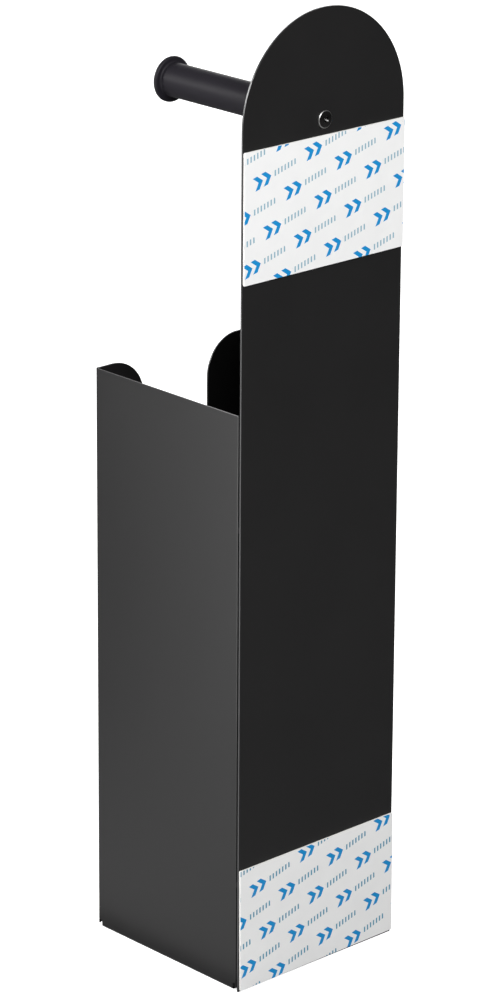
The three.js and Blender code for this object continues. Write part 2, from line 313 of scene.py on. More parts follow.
def add_grain(tree, place, grain_size, cloud_size):
    """Places the shared grain group and returns its relief and its cloud."""
    node = new_node(tree, "ShaderNodeGroup", (0, 0), node_tree=grain_group)
    feed(tree, node.inputs["Vector"], place)
    node.inputs["Grain Size"].default_value = grain_size
    node.inputs["Cloud Size"].default_value = cloud_size
    return node.outputs["Relief"], node.outputs["Cloud"]


def mix_colours(tree, share, first, second, place=(4, 0)):
    """A colour between two others; share 0 gives the first."""
    node = new_node(tree, "ShaderNodeMix", place, data_type="RGBA")
    feed(tree, node.inputs["Factor"], share)
    feed(tree, node.inputs["A"], first)
    feed(tree, node.inputs["B"], second)
    return node.outputs["Result"]


def between(tree, share, low, high, place=(4, 2)):
    """A number between low and high."""
    node = new_node(tree, "ShaderNodeMapRange", place)
    feed(tree, node.inputs["Value"], share)
    node.inputs["To Min"].default_value = low
    node.inputs["To Max"].default_value = high
    return node.outputs[0]


def add_bump(tree, shader, height, strength, distance):
    """Ends a finish with a bump of the given depth in metres."""
    bump = new_node(tree, "ShaderNodeBump", (7, 3))
    bump.inputs["Strength"].default_value = strength
    bump.inputs["Distance"].default_value = distance
    feed(tree, bump.inputs["Height"], height)
    tree.links.new(bump.outputs[0], shader["Normal"])


print("material helpers ready")

# %% [markdown]
# Powder coat is sprayed on dry and baked. It flows together into a very fine orange peel, with
# grains of about half a millimetre, and it is nowhere quite even in gloss. Black powder coat is
# a deep charcoal, not a pure black. Over the cut edges of the sheet it draws thin and smooth, so
# they are glossier; their lighter colour is painted highlight, for the bright line along them.
# Folds are stretched and rubbed by hands, so they are glossier too. In the groove between box
# and plate the coat is dull, and its darker colour is painted shade. One function makes all four.

# %% Powder coat on faces, folds, grooves and cut edges
COAT_GRAIN = 0.55 * MM
COAT_CLOUD = 60 * MM
GLOSS_CHANGE = 0.08


def powder_coat_material(name, dark, light, roughness, relief_depth, specular):
    """A baked coat between two tones, with its own gloss and depth of orange peel."""
    material, tree, shader, place = start_material(name, specular=specular)
    relief, cloud = add_grain(tree, place, COAT_GRAIN, COAT_CLOUD)
    tone = between(tree, cloud, -0.2, 1.2, place=(3, 0))
    tree.links.new(mix_colours(tree, tone, dark, light), shader["Base Color"])
    least = roughness - GLOSS_CHANGE
    gloss = calc(tree, "MULTIPLY_ADD", cloud, GLOSS_CHANGE, least, place=(4, 2))
    gloss = calc(tree, "MULTIPLY_ADD", relief, GLOSS_CHANGE, gloss, place=(5, 2))
    tree.links.new(gloss, shader["Roughness"])
    add_bump(tree, shader, relief, 0.4, relief_depth)
    return material


coat_dark = (0.0045, 0.0042, 0.0044, 1)
coat_light = (0.0072, 0.0068, 0.0070, 1)
powder_coat = powder_coat_material(
    "black_powder_coat", coat_dark, coat_light, 0.50, 0.04 * MM, 0.45)
fold_coat = powder_coat_material(
    "powder_coat_on_folds", coat_dark, coat_light, 0.34, 0.02 * MM, 0.6)
# Painted shade: the groove coat is several times darker than the faces, for the shade in the
# groove.
groove_painted_shade_coat = powder_coat_material(
    "powder_coat_groove_painted_shade", (0.0012, 0.0012, 0.0012, 1), (0.0020, 0.0020, 0.0020, 1),
    0.85, 0.04 * MM, 0.08)
# Painted highlight: the cut edges are several times lighter than the faces, for the bright line
# along them.
edge_coat_painted_highlight = powder_coat_material(
    "powder_coat_cut_edges_painted_highlight", (0.020, 0.020, 0.021, 1), (0.032, 0.032, 0.034, 1),
    0.34, 0.01 * MM, 0.8)
print("powder coat nodes:", len(powder_coat.node_tree.nodes))

# %% [markdown]
# The arm and its cap are aluminium with a black anodised finish. It is smoother than the powder
# coat, with a faint violet cast, and it keeps the fine turning marks of the tube.

# %% Black anodised aluminium
TURNING_MARKS = (40, 2500, 40)  # marks per metre across, along and across the arm

anodised, tree, shader, place = start_material("black_anodised_aluminium", specular=0.18)
relief, cloud = add_grain(tree, place, 0.4 * MM, 35 * MM)
colour = mix_colours(tree, cloud, (0.011, 0.0095, 0.0135, 1), (0.015, 0.0135, 0.018, 1))
tree.links.new(colour, shader["Base Color"])
stretch = new_node(tree, "ShaderNodeMapping", (0, 2))
stretch.inputs["Scale"].default_value = TURNING_MARKS
feed(tree, stretch.inputs["Vector"], place)
marks = new_node(tree, "ShaderNodeTexNoise", (1, 2))
marks.inputs["Scale"].default_value = 1
tree.links.new(stretch.outputs[0], marks.inputs["Vector"])
height = calc(tree, "MULTIPLY_ADD", marks.outputs[0], 0.5, relief, place=(3, 3))
gloss = calc(tree, "MULTIPLY_ADD", height, 0.08, 0.46, place=(4, 2))
tree.links.new(gloss, shader["Roughness"])
add_bump(tree, shader, height, 0.15, 0.02 * MM)
print("anodised nodes:", len(tree.nodes))

# %% [markdown]
# The screw is steel with a thin black finish. It stays a glossy metal, so it mirrors the lamps
# where the paint round it only looks grey. Its rim, its recess and its sharp edges get a second,
# much lighter steel, a painted highlight for the crescent on the rim and the glints in the recess.
# The plug in the tube is bare aluminium. It is hidden, but it keeps a finish of its own.

# %% Screw and plug
def bare_metal(name, grain_size, cloud_size, dark, light, roughness):
    """A metal between two tones and two roughnesses."""
    material, tree, shader, place = start_material(name, metallic=1.0)
    relief, cloud = add_grain(tree, place, grain_size, cloud_size)
    tree.links.new(mix_colours(tree, cloud, dark, light), shader["Base Color"])
    tree.links.new(between(tree, relief, *roughness), shader["Roughness"])
    add_bump(tree, shader, relief, 0.2, 0.02 * MM)
    return material


black_steel = bare_metal(
    "black_steel", 0.25 * MM, 3 * MM,
    (0.045, 0.044, 0.044, 1), (0.075, 0.073, 0.072, 1), (0.18, 0.30))
# Painted highlight: a much lighter steel for the crescent on the rim and the glints in the recess.
steel_painted_highlight = bare_metal(
    "steel_painted_highlight", 0.2 * MM, 2 * MM,
    (0.52, 0.515, 0.51, 1), (0.75, 0.745, 0.74, 1), (0.26, 0.40))
bare_aluminium = bare_metal(
    "bare_aluminium", 0.3 * MM, 8 * MM,
    (0.55, 0.55, 0.57, 1), (0.68, 0.68, 0.69, 1), (0.30, 0.42))
print("metals:", black_steel.name, steel_painted_highlight.name, bare_aluminium.name)

# %% [markdown]
# The foam is white polyethylene with small closed cells, about half a millimetre across. Where
# the strip is cut, the cells are open, so they show as tiny pits, with painted shade in their low
# parts.

# %% White foam
CELLS_PER_METRE = 2000
CELL_DEPTH = 0.1 * MM

white_foam, tree, shader, place = start_material("white_foam", specular=0.3)
relief, cloud = add_grain(tree, place, 0.3 * MM, 12 * MM)
cells = new_node(tree, "ShaderNodeTexVoronoi", (1, 3))
cells.inputs["Scale"].default_value = CELLS_PER_METRE
feed(tree, cells.inputs["Vector"], place)
pits = between(tree, cells.outputs["Distance"], 1, 0, place=(2, 3))
height = calc(tree, "MULTIPLY_ADD", relief, 0.3, pits, place=(3, 3))
# Painted shade: the colour darkens where the pits are low.
colour = mix_colours(tree, pits, (0.72, 0.71, 0.69, 1), (0.86, 0.86, 0.84, 1))
tree.links.new(colour, shader["Base Color"])
tree.links.new(between(tree, cloud, 0.75, 0.9), shader["Roughness"])
add_bump(tree, shader, height, 0.5, CELL_DEPTH)
print("foam nodes:", len(tree.nodes))

# %% [markdown]
# The liner is white coated paper, printed all over with a repeating pattern. The print here is
# a plain double arrow that says which way to peel, followed by a row of short strokes. It stands
# in slanted lines, and every other line is shifted by half a step. A node group turns a point on
# the liner into its place within one repeat, and from that into two masks.

# %% Print pattern group
PRINT_STEP = 42 * MM
PRINT_LINES = 15.8 * MM

print_group, given, result = start_group("peel_print", [("Vector", VECTOR)], ["Arrows", "Strokes"])
split = new_node(print_group, "ShaderNodeSeparateXYZ", (0, 0))
print_group.links.new(given["Vector"], split.inputs[0])
along, across = split.outputs["X"], split.outputs["Z"]


def ink(operation, *values, place=(0, 0)):
    """A Math node in the print's group."""
    return calc(print_group, operation, *values, place=place)


line = ink("ROUND", ink("DIVIDE", across, PRINT_LINES), place=(1, 0))
off_line = ink("MULTIPLY_ADD", line, -PRINT_LINES, across, place=(1, 1))
odd = ink("PINGPONG", line, 1.0, place=(2, 0))
shifted = ink("MULTIPLY_ADD", odd, PRINT_STEP / 2, along, place=(2, 1))
repeat = ink("ROUND", ink("DIVIDE", shifted, PRINT_STEP), place=(3, 0))
past_repeat = ink("MULTIPLY_ADD", repeat, -PRINT_STEP, shifted, place=(3, 1))
print("print repeats every", round(PRINT_STEP / MM), "mm along a line")

# %% [markdown]
# One repeat is measured from the middle of its arrows. A folded distance draws both arrows at
# once: the absolute value of the height bends a straight band into an arrow, and the absolute
# value of the distance from the middle makes two of them. The strokes are the lower part of a
# saw-tooth, kept inside a low box beside the arrows.

# %% Arrows and strokes
ARROW_MIDDLE = 1.6 * MM
ARROW_BEND = 0.9
ARROW_HALF_HEIGHT = 4.1 * MM
ARROW_HALF_BAND = 1.75 * MM
ARROW_SPREAD = 3.4 * MM
STROKE_MIDDLE = 17.6 * MM
STROKE_HALF_ROW = 9.4 * MM
STROKE_HALF_HEIGHT = 1.7 * MM
STROKE_PITCH = 2.7 * MM
STROKE_SHARE = 0.42
STROKE_LEAN = 0.25

height = ink("ABSOLUTE", off_line, place=(4, 1))
bent = ink("MULTIPLY_ADD", height, ARROW_BEND, past_repeat, place=(4, 2))
off_middle = ink("SUBTRACT", bent, ARROW_MIDDLE, place=(5, 2))
off_middle = ink("ABSOLUTE", off_middle, place=(5, 3))
off_band = ink("ABSOLUTE", ink("SUBTRACT", off_middle, ARROW_SPREAD, place=(6, 2)), place=(6, 3))
in_band = ink("LESS_THAN", off_band, ARROW_HALF_BAND, place=(7, 2))
in_height = ink("LESS_THAN", height, ARROW_HALF_HEIGHT, place=(7, 3))
arrows = ink("MULTIPLY", in_band, in_height, place=(8, 2))
print_group.links.new(arrows, result["Arrows"])

row = ink("SUBTRACT", shifted, STROKE_MIDDLE, place=(4, 4))
turn = ink("ROUND", ink("DIVIDE", row, PRINT_STEP, place=(4, 5)), place=(5, 5))
off_row = ink("MULTIPLY_ADD", turn, -PRINT_STEP, row, place=(5, 4))
leaning = ink("MULTIPLY_ADD", off_line, -STROKE_LEAN, off_row, place=(6, 4))
saw = ink("FRACT", ink("DIVIDE", leaning, STROKE_PITCH, place=(6, 5)), place=(7, 5))
in_stroke = ink("LESS_THAN", saw, STROKE_SHARE, place=(7, 4))
in_row = ink("LESS_THAN", ink("ABSOLUTE", off_row, place=(6, 6)), STROKE_HALF_ROW, place=(7, 6))
in_low = ink("LESS_THAN", height, STROKE_HALF_HEIGHT, place=(7, 7))
strokes = ink("MULTIPLY", ink("MULTIPLY", in_stroke, in_row, place=(8, 4)), in_low, place=(8, 5))
print_group.links.new(strokes, result["Strokes"])
print("group peel_print:", len(print_group.nodes), "nodes")

# %% [markdown]
# Both liners have the same finish, but the roll was cut at a different place of the print, so
# each gets its own Mapping node. Its location is the middle of one pair of arrows on that tape.
# The strokes are printed more faintly on the upper one.

# %% Printed liner
PRINT_SLANT = math.radians(15.2)
ARROW_BLUE = (0.0, 0.26, 0.62, 1)
FAINT_BLUE = (0.27, 0.45, 0.55, 1)
STROKE_BLUE = (0.09, 0.30, 0.44, 1)


def liner_material(name, origin, strokes_colour):
    """Coated paper with the print laid from the origin, the middle of one pair of arrows."""
    material, tree, shader, place = start_material(name, specular=0.4)
    relief, cloud = add_grain(tree, place, 0.5 * MM, 18 * MM)
    turn = new_node(tree, "ShaderNodeMapping", (0, 3), vector_type="TEXTURE")
    turn.inputs["Location"].default_value = origin
    turn.inputs["Rotation"].default_value = (0, PRINT_SLANT, 0)
    turn.inputs["Scale"].default_value = (-1, 1, 1)
    feed(tree, turn.inputs["Vector"], place)
    pattern = new_node(tree, "ShaderNodeGroup", (2, 3), node_tree=print_group)
    tree.links.new(turn.outputs[0], pattern.inputs["Vector"])
    arrows, strokes = pattern.outputs["Arrows"], pattern.outputs["Strokes"]
    paper = mix_colours(tree, cloud, (0.86, 0.86, 0.86, 1), (0.93, 0.93, 0.925, 1), place=(3, 0))
    with_strokes = mix_colours(tree, strokes, paper, strokes_colour, place=(4, 0))
    with_arrows = mix_colours(tree, arrows, with_strokes, ARROW_BLUE, place=(5, 0))
    tree.links.new(with_arrows, shader["Base Color"])
    printed = calc(tree, "ADD", arrows, strokes, place=(4, 2))
    tree.links.new(between(tree, printed, 0.42, 0.55, place=(5, 2)), shader["Roughness"])
    height = calc(tree, "MULTIPLY_ADD", printed, 0.4, relief, place=(5, 4))
    add_bump(tree, shader, height, 0.15, 0.02 * MM)
    return material


def middle_height(node):
    """The height of a CAD node's middle above the ground."""
    low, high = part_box(node)
    return (low.z + high.z) / 2


upper_z = middle_height("upper_release_liner")
lower_z = middle_height("lower_release_liner")
upper_print = liner_material(
    "upper_liner_print", (1.6 * MM, 0, upper_z + 1.95 * MM), FAINT_BLUE)
lower_print = liner_material(
    "lower_liner_print", (1.2 * MM, 0, lower_z + 5.65 * MM), STROKE_BLUE)
print("print slant in degrees:", round(math.degrees(PRINT_SLANT), 1))

# %% [markdown]
# Modelling in code follows the same steps as modelling by hand: deselect everything, add a
# primitive at its place, go into edit mode, select faces or edges and run an operator on them.
# By hand the selection is made with the mouse. Here a small rule does it, by place or by normal.

# %% Modelling helpers
def deselect_all():
    """Leaves edit mode and deselects every object."""
    if bpy.context.object and bpy.context.object.mode != "OBJECT":
        bpy.ops.object.mode_set(mode="OBJECT")
    bpy.ops.object.select_all(action="DESELECT")


def settle(name):
    """Names the newest object and moves its place, turn and size into its mesh."""
    piece = bpy.context.object
    piece.name = piece.data.name = name
    bpy.ops.object.transform_apply(location=True, rotation=True, scale=True)
    return piece


def open_mesh(piece):
    """Goes into edit mode with the whole mesh selected."""
    deselect_all()
    piece.select_set(True)
    bpy.context.view_layer.objects.active = piece
    bpy.ops.object.mode_set(mode="EDIT")
    bpy.ops.mesh.select_all(action="SELECT")


def middle_of(part):
    """The middle of a face, an edge or a vertex."""
    points = [part] if isinstance(part, bmesh.types.BMVert) else part.verts
    return sum((p.co for p in points), Vector()) / len(points)


def select_where(piece, kind, rule):
    """In edit mode, selects the faces, edges or verts for which the rule holds."""
    bpy.ops.mesh.select_mode(type={"faces": "FACE", "edges": "EDGE", "verts": "VERT"}[kind])
    bpy.ops.mesh.select_all(action="DESELECT")
    grid = bmesh.from_edit_mesh(piece.data)
    chosen = [part for part in getattr(grid, kind) if rule(part)]
    for part in chosen:
        part.select_set(True)
    bmesh.update_edit_mesh(piece.data)
    return len(chosen)


print("modelling helpers ready")

# %% [markdown]
# The same few moves finish most pieces: a modifier is added and applied, a tool's shape is cut
# away, and the surface is shaded smooth but for its real edges. A Weighted Normal modifier lets
# the large flat faces decide the shading, so the narrow bevels round them catch the light.

# %% Finishing helpers
def modify(piece, kind, **settings):
    """Adds a modifier, sets it and applies it."""
    deselect_all()
    piece.select_set(True)
    bpy.context.view_layer.objects.active = piece
    modifier = piece.modifiers.new(kind.lower(), kind)
    for key, value in settings.items():
        setattr(modifier, key, value)
    bpy.ops.object.modifier_apply(modifier=modifier.name)


def cut_away(piece, cutter):
    """Takes the cutter's shape out of the piece and removes the cutter."""
    modify(piece, "BOOLEAN", object=cutter, operation="DIFFERENCE", solver="EXACT")
    bpy.data.objects.remove(cutter)


def shade(piece, degrees=35):
    """Smooth shading that keeps flat sheets flat up to their edges."""
    deselect_all()
    piece.select_set(True)
    bpy.context.view_layer.objects.active = piece
    bpy.ops.object.shade_smooth_by_angle(angle=math.radians(degrees))
    modify(piece, "WEIGHTED_NORMAL", keep_sharp=True, weight=100)


def report(piece):
    """Prints a piece's size and how many faces it has."""
    corners = [v.co for v in piece.data.vertices]
    size = [max(c[i] for c in corners) - min(c[i] for c in corners) for i in range(3)]
    faces = len(piece.data.polygons)
    print(piece.name, "size in mm:", [round(s / MM, 2) for s in size], "faces:", faces)


print("finishing helpers ready")

# %% [markdown]
# The back plate is laser-cut from flat steel. Its outline is a rectangle with a half circle on
# top. The quickest way to it is a filled circle of the plate's width, cut along its diameter,
# with the cut edge pulled down to the ground. A Solidify modifier then gives it the sheet's
# thickness.

# %% Back plate outline
plate_radius = (plate_high.x - plate_low.x) / 2
shoulder = plate_high.z - plate_radius

deselect_all()
bpy.ops.mesh.primitive_circle_add(
    vertices=240, radius=plate_radius, fill_type="NGON",
    location=(0, plate_low.y, shoulder), rotation=(math.pi / 2, 0, 0),
)
back_plate = settle("steel_back_plate")
open_mesh(back_plate)
bpy.ops.mesh.bisect(plane_co=(0, 0, shoulder), plane_no=UP, clear_inner=True, threshold=1e-6)
found = select_where(back_plate, "edges", lambda e: abs(middle_of(e).z - shoulder) < 1e-5)
bpy.ops.mesh.extrude_region_move(
    TRANSFORM_OT_translate={"value": (0, 0, plate_low.z - shoulder)})
deselect_all()
print("edges pulled down:", found)
report(back_plate)

# %% [markdown]
# The plate has one hole, for the screw that holds the arm. A cut edge is never quite sharp, and
# powder coat rounds it further, so the last step is a bevel of about a fifth of a millimetre.
# Without it the edge could not catch the lamp as a thin bright line.

# %% Back plate thickness, hole and edges
HOLE_RADIUS = 2.75 * MM
EDGE_ROUNDING = 0.22 * MM

paint(back_plate, powder_coat, edge_coat_painted_highlight)
# The rim of the sheet, its cut edge, gets the lighter coat, a painted highlight along the edge.
modify(back_plate, "SOLIDIFY", thickness=plate_high.y - plate_low.y, offset=-1,
       material_offset_rim=1)
bpy.ops.mesh.primitive_cylinder_add(
    vertices=64, radius=HOLE_RADIUS, depth=10 * MM,
    location=(0, plate_low.y, arm_height), rotation=(math.pi / 2, 0, 0),
)
cut_away(back_plate, settle("hole_cutter"))
modify(back_plate, "BEVEL", width=EDGE_ROUNDING, segments=3, limit_method="ANGLE",
       angle_limit=math.radians(60))
shade(back_plate)
report(back_plate)

# %% [markdown]
# The storage box is folded from one flat blank: a floor, two side panels, and on each side panel
# a front lip and a rear flange. A block with rounded folds is the easiest start, because all the
# faces that the blank doesn't have can then be deleted from it. The bevels come first, while the
# block is still closed, and they give the folds the glossier coat. The part of each rear fold
# that turns towards the plate lies in the groove, so it gets the dull coat, painted darker as
# shade.

# %% Storage box block with its folds
FOLD_OUTSIDE = 1.8 * MM
GROOVE_START = 0.35
SHEET = 1.0 * MM

box_middle = (box_low + box_high) / 2
deselect_all()
bpy.ops.mesh.primitive_cube_add(size=1, location=box_middle, scale=box_high - box_low)
storage_box = settle("folded_storage_box")
open_mesh(storage_box)


def is_fold(edge):
    """The four upright edges and the two lower side edges of the block."""
    run = (edge.verts[1].co - edge.verts[0].co).normalized()
    upright = abs(run.z) > 0.9
    low_side = abs(run.y) > 0.9 and middle_of(edge).z < box_low.z + MM
    return upright or low_side


def is_in_groove(face):
    """The part of a rear fold that turns towards the plate."""
    return GROOVE_START < face.normal.y < 0.99 and abs(face.normal.z) < 0.5


paint(storage_box, powder_coat, edge_coat_painted_highlight, fold_coat, groove_painted_shade_coat)
found = select_where(storage_box, "edges", is_fold)
bpy.ops.mesh.bevel(offset=FOLD_OUTSIDE, segments=8, profile=0.5, affect="EDGES", material=2)
in_groove = select_where(storage_box, "faces", is_in_groove)
# The groove faces get the dull coat, whose darker colour is painted shade.
storage_box.active_material_index = 3
bpy.ops.object.material_slot_assign()
print("edges folded:", found, "faces in the groove:", in_groove)

# %% [markdown]
# Now the block is scored where the blank ends: at the sides of the front slot, at the free edges
# of the rear flanges, and round the small relief notches that a folding machine needs where
# three folds would meet. A bisect only cuts the faces that are selected, so each group of faces
# is chosen by its normal first.

# %% Score the block
SLOT_HALF = 26.5 * MM
FLANGE_INNER = 51 * MM
FLOOR_END = 60 * MM
FOOT = box_low.z + 2 * MM
NOTCH_TOP = box_low.z + 4.6 * MM
NOTCH = 2.1 * MM
front_fold = box_low.y + FOLD_OUTSIDE
rear_fold = box_high.y - FOLD_OUTSIDE
floor_rear = box_high.y - 0.3 * MM  # the floor stops just short of the plate


def score(rule, point, normal):
    """Cuts the faces for which the rule holds along a plane."""
    select_where(storage_box, "faces", rule)
    bpy.ops.mesh.bisect(plane_co=point, plane_no=normal, threshold=1e-6)


for hand in (1, -1):
    score(lambda f: f.normal.y < -0.99, (hand * SLOT_HALF, 0, 0), (1, 0, 0))
    score(lambda f: f.normal.y > 0.99, (hand * FLANGE_INNER, 0, 0), (1, 0, 0))
    score(lambda f: f.normal.z < -0.99, (hand * FLOOR_END, 0, 0), (1, 0, 0))
for height in (FOOT, NOTCH_TOP):
    score(lambda f: True, (0, 0, height), (0, 0, 1))
for depth in (front_fold + NOTCH, rear_fold - NOTCH, floor_rear):
    score(lambda f: abs(f.normal.y) < 0.5 and f.normal.z < 0.5, (0, depth, 0), (0, 1, 0))
storage_box.data.update()
print("faces after scoring:", len(bmesh.from_edit_mesh(storage_box.data).faces))

# %% [markdown]
# What lies outside the blank is deleted: the top, the slot, the middle of the rear, the strip
# under the lips and flanges, and the corners round the notches.

# %% Delete what the blank doesn't have
def is_waste(face):
    """Whether a scored face of the block lies outside the blank."""
    c, n = middle_of(face), face.normal
    end = c.y < front_fold + NOTCH or c.y > rear_fold - NOTCH
    in_fold = c.y < front_fold or c.y > rear_fold
    if n.z > 0.9:
        return True
    if n.y < -0.9 and abs(c.x) < SLOT_HALF:
        return True
    if n.y > 0.9 and abs(c.x) < FLANGE_INNER:
        return True
    if n.z < -0.99:
        return c.y > floor_rear or (end and abs(c.x) > FLOOR_END)
    if end and c.z < FOOT:
        return True
    return end and not in_fold and c.z < NOTCH_TOP


found = select_where(storage_box, "faces", is_waste)
bpy.ops.mesh.delete(type="FACE")
print("faces deleted:", found)

# %% [markdown]
# Both front lips have a large round corner beside the slot, so that a hand can reach in for a
# roll. A bevel on a single vertex rounds it. The open shell then gets the sheet's thickness
# towards the inside, and its cut edges are broken a little.

# %% Lip corners, sheet thickness and edges
LIP_CORNER = 25 * MM


def is_lip_corner(vert):
    """The top corner of a lip, beside the slot, on the sheet's outer face."""
    at_slot = abs(abs(vert.co.x) - SLOT_HALF) < 1e-5
    return at_slot and vert.co.y < box_low.y + 1e-5 and vert.co.z > box_high.z - 1e-5


found = select_where(storage_box, "verts", is_lip_corner)
bpy.ops.mesh.bevel(offset=LIP_CORNER, segments=24, profile=0.5, affect="VERTICES")
deselect_all()
# The cut edges of the sheet get the lighter coat, a painted highlight along them.
modify(storage_box, "SOLIDIFY", thickness=SHEET, offset=-1, use_even_offset=True,
       material_offset_rim=1)
modify(storage_box, "BEVEL", width=0.16 * MM, segments=2, limit_method="ANGLE",
       angle_limit=math.radians(60))
shade(storage_box)
print("lip corners rounded:", found)
report(storage_box)

# %% [markdown]
# Four short tack welds join the box to the plate, in the groove between the rear fold and the
# plate. A weld bead is a row of small overlapping ripples. It is modelled as a short upright bar
# with rings cut round it. Every second ring is then drawn in, and so are both ends. One function
# makes all four.

# %% Weld bead
WELD_RINGS = (-0.375, -0.25, -0.125, 0, 0.125, 0.25, 0.375)
WELD_NECKS = (-0.25, 0, 0.25)


def make_weld(name, node):
    """One rippled bead in the place of its CAD node."""
    low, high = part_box(node)
    middle, size = (low + high) / 2, high - low
    deselect_all()
    bpy.ops.mesh.primitive_cylinder_add(
        vertices=24, radius=0.5, depth=1, location=middle, scale=size * 0.98)
    bead = settle(name)
    open_mesh(bead)
    for share in WELD_RINGS:
        bpy.ops.mesh.select_all(action="SELECT")
        bpy.ops.mesh.bisect(plane_co=(0, 0, middle.z + share * size.z), plane_no=UP)
    for share in WELD_NECKS:
        select_where(bead, "verts", lambda v: abs(v.co.z - middle.z - share * size.z) < 1e-6)
        bpy.ops.transform.resize(value=(0.86, 0.86, 1), center_override=middle)
    select_where(bead, "verts", lambda v: abs(v.co.z - middle.z) > 0.48 * size.z)
    bpy.ops.transform.resize(value=(0.6, 0.6, 1), center_override=middle)
    deselect_all()
    modify(bead, "BEVEL", width=0.2 * MM, segments=2, limit_method="ANGLE",
           angle_limit=math.radians(50))
    shade(bead, 60)
    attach(bead, "holder")
    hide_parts(node)
    paint(bead, powder_coat)
    report(bead)
    return bead


welds = [
    make_weld(f"weld_bead_{side}_{level}", f"tack_weld_{side}_{level}")
    for side in ("right", "left") for level in ("lower", "upper")
]

# %% [markdown]
# The arm is a plain tube. A circle is extruded along its axis and given a wall with Solidify.
# One end meets the plate, the other is closed by the end cap.

# %% Arm tube
TUBE_WALL = 1.5 * MM
tube_radius = (tube_high.x - tube_low.x) / 2
tube_length = tube_high.y - tube_low.y

deselect_all()
bpy.ops.mesh.primitive_circle_add(
    vertices=128, radius=tube_radius, fill_type="NOTHING",
    location=(0, tube_high.y, arm_height), rotation=(math.pi / 2, 0, 0),
)
arm_tube = settle("anodised_arm_tube")
open_mesh(arm_tube)
bpy.ops.mesh.extrude_region_move(TRANSFORM_OT_translate={"value": (0, -tube_length, 0)})
bpy.ops.mesh.select_all(action="SELECT")
bpy.ops.mesh.normals_make_consistent(inside=False)
deselect_all()
modify(arm_tube, "SOLIDIFY", thickness=TUBE_WALL, offset=-1)
modify(arm_tube, "BEVEL", width=0.2 * MM, segments=2, limit_method="ANGLE",
       angle_limit=math.radians(60))
shade(arm_tube)
paint(arm_tube, anodised)
report(arm_tube)

# %% [markdown]
# The end cap and the screw are turned parts: half of their section, spun round the axis, gives
# the whole piece, as on a lathe. A profile is drawn by extruding one vertex from point to point.
# The two small helpers below draw a profile and spin it.

# %% Lathe helpers
def arc(centre, radius, start, end, steps):
    """Points [distance from the axis, place along it] of an arc, in degrees."""
    angles = [math.radians(start + (end - start) * i / steps) for i in range(steps + 1)]
    return [(centre[0] + radius * math.cos(a), centre[1] + radius * math.sin(a)) for a in angles]


def turned(name, profile, steps):
    """Spins a profile of [radius, y] points round the arm's axis."""
    deselect_all()
    bpy.ops.mesh.primitive_plane_add(size=MM, location=(profile[0][0], profile[0][1], arm_height))
    piece = settle(name)
    open_mesh(piece)
    bpy.ops.mesh.merge(type="CENTER")
    for before, after in zip(profile, profile[1:]):
        step = (after[0] - before[0], after[1] - before[1], 0)
        bpy.ops.mesh.extrude_region_move(TRANSFORM_OT_translate={"value": step})
    bpy.ops.mesh.select_all(action="SELECT")
    bpy.ops.mesh.spin(steps=steps, angle=2 * math.pi, center=(0, 0, arm_height), axis=(0, 1, 0))
    bpy.ops.mesh.select_all(action="SELECT")
    bpy.ops.mesh.remove_doubles(threshold=0.005 * MM)
    bpy.ops.mesh.normals_make_consistent(inside=False)
    deselect_all()
    return piece


print("lathe helpers ready: arc, turned")

# %% [markdown]
# The cap stops the roll from sliding off. It has a rounded rim that stands proud of the tube, a
# small hollow curve down to the tube, and a spigot that is pressed into the bore.

# %% Arm end cap
RIM_THICKNESS = 3 * MM
RIM_ROUNDING = 1.2 * MM
CAP_FILLET = 1.2 * MM
SPIGOT_RADIUS = 8.95 * MM
SPIGOT_CHAMFER = 1 * MM
CAP_GAP = 0.05 * MM
rim_radius = (cap_high.x - cap_low.x) / 2
rim_rear = cap_low.y + RIM_THICKNESS
shoulder_y = tube_low.y - CAP_GAP

profile = [(0, cap_low.y)]
profile += arc((rim_radius - RIM_ROUNDING, cap_low.y + RIM_ROUNDING), RIM_ROUNDING, -90, 0, 10)
profile += arc((rim_radius - RIM_ROUNDING, rim_rear - RIM_ROUNDING), RIM_ROUNDING, 0, 90, 10)
profile += arc((tube_radius + CAP_FILLET, rim_rear + CAP_FILLET), CAP_FILLET, 270, 185, 8)
profile += [
    (tube_radius, shoulder_y), (SPIGOT_RADIUS, shoulder_y),
    (SPIGOT_RADIUS, cap_high.y - SPIGOT_CHAMFER),
    (SPIGOT_RADIUS - SPIGOT_CHAMFER, cap_high.y), (0, cap_high.y),
]
end_cap = turned("arm_end_cap_shell", profile, 128)
shade(end_cap, 32)
paint(end_cap, anodised)
report(end_cap)

# %% [markdown]
# The screw that holds the arm shows its low domed head on the rear face. The head's rim is
# rounded, and that round rim is what catches the lamp as a bright crescent. The thread is hidden
# in the plug inside the tube. It is drawn as a row of grooves, which looks the same as a thread
# and needs no helix.

# %% Fixing screw
HEAD_RADIUS = 5.4 * MM
HEAD_EDGE = 0.25 * MM
HEAD_ROUNDING = 0.6 * MM
HEAD_HEIGHT = 1.4 * MM
SHANK_RADIUS = 2.45 * MM
SHANK_CHAMFER = 0.7 * MM
THREAD_DEPTH = 0.35 * MM
THREAD_END = 0.3 * MM
PITCH = 0.8 * MM
screw_low, screw_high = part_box("fixing_screw")
head_seat = screw_high.y - HEAD_HEIGHT

